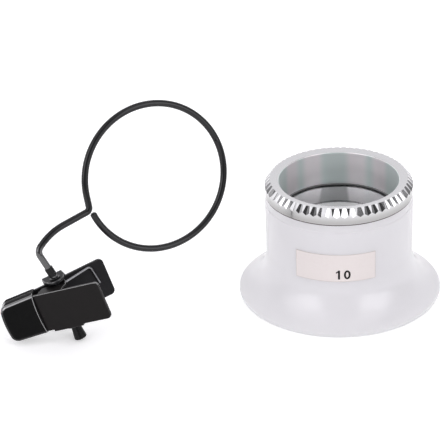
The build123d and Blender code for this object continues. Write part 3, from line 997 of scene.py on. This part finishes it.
@dataclass
class TorsionSpring:
    """The spring's two legs and its coil (millimetres and degrees, in the clip's own frame)."""

    place: ClipPlace
    diameter: float = 0.5
    mean_radius: float = 1.15
    turns: int = 5
    height: float = 6.86
    leg_rise: float = 0.46
    eased_share: float = 1 / 18
    half_splay: float = 19.5
    skin: float = 2.9591
    leg_reach: float = 9.0
    foot_length: float = 4.6
    foot_slant: float = 8.7
    bend_radius: float = 0.8
    coil_steps: int = 240
    bend_steps: int = 10
    leg_spacing: float = 0.8
    around: int = 14
    still_end: float = 0.3

    def lean(self) -> float:
        """Return the angle between the clip's middle plane and a leg whose end meets the leaf."""
        span = math.hypot(self.mean_radius, self.leg_reach)
        rest = math.asin(self.skin / span) - math.asin(self.mean_radius / span)
        return math.radians(self.half_splay) + rest

    def coil_line(self) -> Array:
        """Return the coil, which rises evenly but for its two ends, where it eases to the legs.

        The point at a share of the sweep is (r cos a, r sin a, rise), and the rise is the sum of
        leg climb + (coil climb - leg climb) * min(share, 1 - share, eased) / eased.
        """
        sweep = 2 * math.pi * self.turns - math.pi - 2 * self.lean()
        share = np.linspace(0, 1, self.coil_steps)
        angle = -math.pi / 2 - self.lean() - sweep * share
        eased = np.minimum(np.minimum(share, 1 - share), self.eased_share) / self.eased_share
        leg_climb = self.leg_rise / self.leg_reach * self.mean_radius * sweep
        coil_climb = (self.height - leg_climb * self.eased_share) / (1 - self.eased_share)
        climb = leg_climb + (coil_climb - leg_climb) * eased
        steps = (climb[1:] + climb[:-1]) / 2 * np.diff(share)
        rise = np.concatenate([[0.0], np.cumsum(steps)])
        rise = (rise / rise[-1] - 0.5) * self.height
        x, y = self.mean_radius * np.cos(angle), self.mean_radius * np.sin(angle)
        return np.stack([x, y, rise], axis=-1)

    def leg_line(self, side: int) -> Array:
        """Return a leg and foot: two straight runs joined by an arc of the bend radius.

        The arc's point at an angle is touch + radius * (inward * (1 - cos) + out * sin).
        """
        lean = self.lean()
        slant = math.radians(self.foot_slant)
        splay = math.radians(self.half_splay)
        start = np.array([
            -self.mean_radius * math.sin(lean),
            side * self.mean_radius * math.cos(lean),
            side * self.height / 2,
        ])
        climb = self.leg_rise / self.leg_reach
        out = np.array([math.cos(lean), side * math.sin(lean), side * climb])
        out /= np.linalg.norm(out)
        down = np.array([
            math.cos(splay) * math.sin(slant),
            side * math.sin(splay) * math.sin(slant),
            -side * math.cos(slant),
        ])
        corner = start + out * self.leg_reach
        turn = math.acos(float(out @ down))
        touch = corner - out * self.bend_radius * math.tan(turn / 2)
        inward = down - out * (down @ out)
        inward /= np.linalg.norm(inward)
        sweep = np.linspace(0, turn, self.bend_steps)[:, None]
        arc = touch + self.bend_radius * (inward * (1 - np.cos(sweep)) + out * np.sin(sweep))
        return np.concatenate([start[None], arc, (corner + down * self.foot_length)[None]])

    def build(self, material: bpy.types.Material) -> None:
        """Make the coil, which twists as the jaws open, and the two legs, which ride on them."""
        middle = np.array([[0.0, 0.0, 1.0]])
        for name, line, body in (
            ("spring_front_leg", self.leg_line(-1), "front_jaw"),
            ("spring_rear_leg", self.leg_line(1), "rear_jaw"),
            ("spring_coil", self.coil_line(), None),
        ):
            line = line if body is None else evened(line, self.leg_spacing)
            points = self.place.world(line)
            square = self.place.direction(np.cross(np.gradient(line, axis=0), middle))
            radii = np.full(len(line), self.diameter / 2) * MM
            wire = tube(name, points, square, radii, self.around)
            dress(wire, material)
            if body is None:
                reach = self.height / 2 - self.still_end
                low, high = self.place.world(np.array([[0, 0, -reach], [0, 0, reach]]))
                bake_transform(wire, "front_jaw", "rear_jaw", start=tuple(low), end=tuple(high))
            else:
                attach(wire, body)
            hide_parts("torsion_spring")
            LOG.info("made %s", name)


@dataclass
class BootLip:
    """The thin rolled lip round a boot's mouth (millimetres, in the clip's own frame)."""

    place: ClipPlace
    side: int
    mouth: float = -5.8915
    skin: float = 2.5
    half_height: float = 4.8
    round_radius: float = 0.85
    bead_radius: float = 0.12
    sunk_share: float = 0.6
    end_skin: float = 1.2
    bow: float = 0.35
    corner_steps: int = 8
    flat_steps: int = 14
    around: int = 8

    def line(self) -> Array:
        """Return the bead's centre line: across the top edge, down the flat skin, back below.

        The two corners are quarter arcs of the round's radius, and the mouth bows back by
        bow * (1 - (rise / half height) ** 2).
        """
        inset = self.bead_radius * self.sunk_share
        skin, half = self.skin - inset, self.half_height - inset
        arc = np.linspace(0, np.pi / 2, self.corner_steps)
        deep = skin - self.round_radius + self.round_radius * np.sin(arc)
        high = half - self.round_radius + self.round_radius * np.cos(arc)
        flat = np.linspace(high[-1], -high[-1], self.flat_steps)[1:-1]
        end = [self.end_skin]
        depth = np.concatenate([end, deep, np.full(len(flat), skin), deep[::-1], end])
        rise = np.concatenate([[half], high, flat, -high[::-1], [-half]])
        along = self.mouth - self.bow * (1 - (rise / self.half_height) ** 2)
        return np.stack([along, self.side * depth, rise], axis=-1)

    def build(self, material: bpy.types.Material, body: str) -> None:
        """Make the bead, which rides on the jaw's body."""
        line = self.line()
        square = self.place.direction(np.repeat([[1.0, 0.0, 0.0]], len(line), 0))
        radii = np.full(len(line), self.bead_radius) * MM
        points = self.place.world(line)
        bead = tube(f"{body}_boot_lip", points, square, radii, self.around)
        dress(bead, material)
        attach(bead, body)
        LOG.info("made %s", bead.name)


@dataclass
class SpringClip:
    """The clip's leaves, boots, wire, spring and small fittings (millimetres and degrees)."""

    place: ClipPlace = field(default_factory=ClipPlace)
    leaf_edge: float = 0.16
    boot_edge: float = 0.05
    splay: float = 19.5
    smooth: BlackFinish = BlackFinish(
        "black_sheet_smooth", (0.009, 0.008, 0.008), (0.015, 0.013, 0.013), 0.42,
        coat=1.0, coat_ior=3.0,
    )
    textured: BlackFinish = BlackFinish(
        "black_sheet_textured", (0.01, 0.01, 0.011), (0.03, 0.03, 0.032), 0.5, Grain.TEXTURED,
        coat=1.0, coat_ior=2.0,
    )
    rubber: BlackFinish = BlackFinish(
        "boot_rubber", (0.008, 0.008, 0.008), (0.014, 0.014, 0.014), 0.5,
        coat=1.0, coat_roughness=0.08, specular=0.02, coat_ior=3.0,
    )
    gloss: BlackFinish = BlackFinish(
        "black_gloss", (0.004, 0.004, 0.004), (0.008, 0.008, 0.008), 0.3,
        coat=0.25, coat_roughness=0.1,
    )
    lip_rubber: BlackFinish = BlackFinish(
        "lip_rubber", roughness=0.3, coat=1.0, coat_roughness=0.1, coat_ior=3.0
    )

    def soften(
        self, node: str, width: float, finish: BlackFinish, splay: float, side: int
    ) -> None:
        """Round a node's edges and dress it, with the shine on its edges alone.

        Args:
            node: the CAD node's name.
            width: the width of the rounding.
            finish: the node's finish.
            splay: the angle between the clip's middle plane and the node's flat face.
            side: -1 for the front jaw's side and 1 for the rear jaw's.
        """
        piece = softened(node, width)
        turn = math.radians(splay)
        outer = np.array([-math.sin(turn), side * math.cos(turn), 0.0])
        flats = np.stack([outer, -outer, [0.0, 0.0, 1.0]])
        dress(piece, finish.make(self.place.direction(flats)))
        LOG.info("softened %s", node)

    def build(self) -> None:
        """Dress the clip's pieces and make its wires."""
        self.soften("front_leaf", self.leaf_edge, self.smooth, self.splay, -1)
        self.soften("rear_leaf", self.leaf_edge, self.textured, self.splay, 1)
        self.soften("front_boot", self.boot_edge, self.rubber, 0.0, -1)
        self.soften("rear_boot", self.boot_edge, self.rubber, 0.0, 1)
        gloss = self.gloss.make()
        for node in ("pivot_washer", "pivot_collar", "end_knob"):
            dress(frame["nodes"][node], gloss)
            LOG.info("dressed %s", node)
        lip_rubber = self.lip_rubber.make()
        for side, body in ((-1, "front_jaw"), (1, "rear_jaw")):
            BootLip(self.place, side).build(lip_rubber, body)
        WireArm(self.place).build(WireCoat().make())
        TorsionSpring(self.place).build(SpringSteel().make())


@dataclass(frozen=True)
class Panel:
    """A stretch of the tent around the object: bearings and heights in degrees, and its level."""

    left: float
    right: float
    low: float
    high: float
    level: float
    soft: float = 1.5


@dataclass
class Studio:
    """White floor, a lit tent and the camera (millimetres and degrees)."""

    target: tuple[float, float, float] = (-27.11, 0.0, 18.64)
    distance: float = 400.0
    elevation: float = 27.74
    roll: float = -2.43
    focal_pixels: float = 1756.0
    frame_pixels: float = 440.0
    sensor: float = 36.0
    nearest: float = 10.0
    farthest: float = 20000.0
    floor_size: float = 6000.0
    floor_glow: float = 0.37
    floor_white: Colour = (0.9, 0.9, 0.9)
    room: Colour = (0.98, 0.97, 1.0)
    side_level: float = 0.25
    back_level: float = 1.0
    side_fade: Span = (95.0, 125.0)
    panels: tuple[Panel, ...] = (
        Panel(-180.0, 180.0, 64.0, 90.0, 0.9, 4.0),
        Panel(-88.0, -27.0, 4.0, 64.0, 1.35),
        Panel(26.0, 72.0, 4.0, 64.0, 1.35),
        Panel(-65.0, -34.0, 6.0, 41.0, 2.8),
        Panel(28.0, 67.0, 6.0, 41.0, 2.8),
        Panel(-25.0, 24.0, 12.0, 60.0, 0.06, 3.0),
    )

    def camera(self) -> None:
        """Set the camera: it looks along +Y, down by the elevation, turned by the roll."""
        tilt, roll = math.radians(self.elevation), math.radians(self.roll)
        ahead = np.array([0.0, math.cos(tilt), -math.sin(tilt)])
        right = np.array([1.0, 0.0, 0.0])
        up = np.cross(right, ahead)
        right_rolled = math.cos(roll) * right + math.sin(roll) * up
        up_rolled = -math.sin(roll) * right + math.cos(roll) * up
        data = bpy.data.cameras.new("camera")
        data.sensor_width = self.sensor
        data.lens = self.focal_pixels / self.frame_pixels * self.sensor
        data.clip_start = self.nearest * MM
        data.clip_end = self.farthest * MM
        camera = bpy.data.objects.new("camera", data)
        matrix = np.eye(4)
        matrix[:3, :3] = np.stack([right_rolled, up_rolled, -ahead], axis=1)
        matrix[:3, 3] = (np.array(self.target) - self.distance * ahead) * MM
        camera.matrix_world = Matrix(matrix.tolist())
        bpy.context.scene.collection.objects.link(camera)
        bpy.context.scene.camera = camera

    def floor(self) -> None:
        """Lay the white floor, which keeps the object's shadow."""
        half = self.floor_size / 2
        flat = np.array([-half, half])
        x, y = np.meshgrid(flat, flat, indexing="ij")
        grid = np.stack([x, y, 0 * x], axis=-1) * MM
        floor = mesh_from_grid("floor", grid, closed_round=False)
        recipe = Recipe(
            "floor_white", Roughness=1.0, Specular_IOR_Level=0.0, Base_Color=self.floor_white
        )
        seen = recipe.ray("Is Camera Ray")
        seen = seen | recipe.ray("Is Glossy Ray") | recipe.ray("Is Transmission Ray")
        glow = {"Color": WHITE, "Strength": self.floor_glow}
        none = {"Color": BLACK, "Strength": 0.0}
        lit = recipe.either(
            seen,
            recipe.node("ShaderNodeEmission", None, none),
            recipe.node("ShaderNodeEmission", None, glow),
        )
        inputs = {0: recipe.surface.outputs[0], 1: lit.outputs[0]}
        recipe.show(recipe.node("ShaderNodeAddShader", None, inputs))
        dress(floor, recipe.material)

    def surroundings(self) -> None:
        """Set the world: white to the camera, and to all else a tent of paler and darker panels.

        The tent's level goes from the sides' to the back's, and each panel in turn replaces it
        inside its own bearings and heights.
        """
        world = bpy.data.worlds.new("studio")
        bpy.context.scene.world = world
        world.use_nodes = True
        world.node_tree.nodes.clear()
        recipe = Recipe.on_tree(world.node_tree)
        x, y, z = recipe.split(recipe.node("ShaderNodeTexCoord").outputs["Generated"])
        bearing = x.bearing(-y)
        height = z.math("ARCSINE", z) * DEGREES
        level = abs(bearing).step(*self.side_fade).between(self.side_level, self.back_level)
        for panel in self.panels:
            inside = bearing.within(panel.left, panel.right, panel.soft)
            inside = inside * height.within(panel.low, panel.high, panel.soft)
            level = level + inside * (panel.level - level)
        tent = {"Strength": level, "Color": self.room}
        white = {"Strength": 1.0, "Color": WHITE}
        recipe.show(
            recipe.either(
                recipe.ray("Is Camera Ray"),
                recipe.node("ShaderNodeBackground", None, tent),
                recipe.node("ShaderNodeBackground", None, white),
            )
        )

    def build(self) -> None:
        """Set up the camera, the floor and the surroundings."""
        self.camera()
        self.floor()
        self.surroundings()
        bpy.context.scene.view_settings.view_transform = "Standard"


def main() -> None:
    """Build the looks piece by piece."""
    logging.basicConfig(level=logging.INFO, format="%(message)s")
    Loupe().build()
    SpringClip().build()
    Studio().build()


if __name__ == "__main__":
    main()
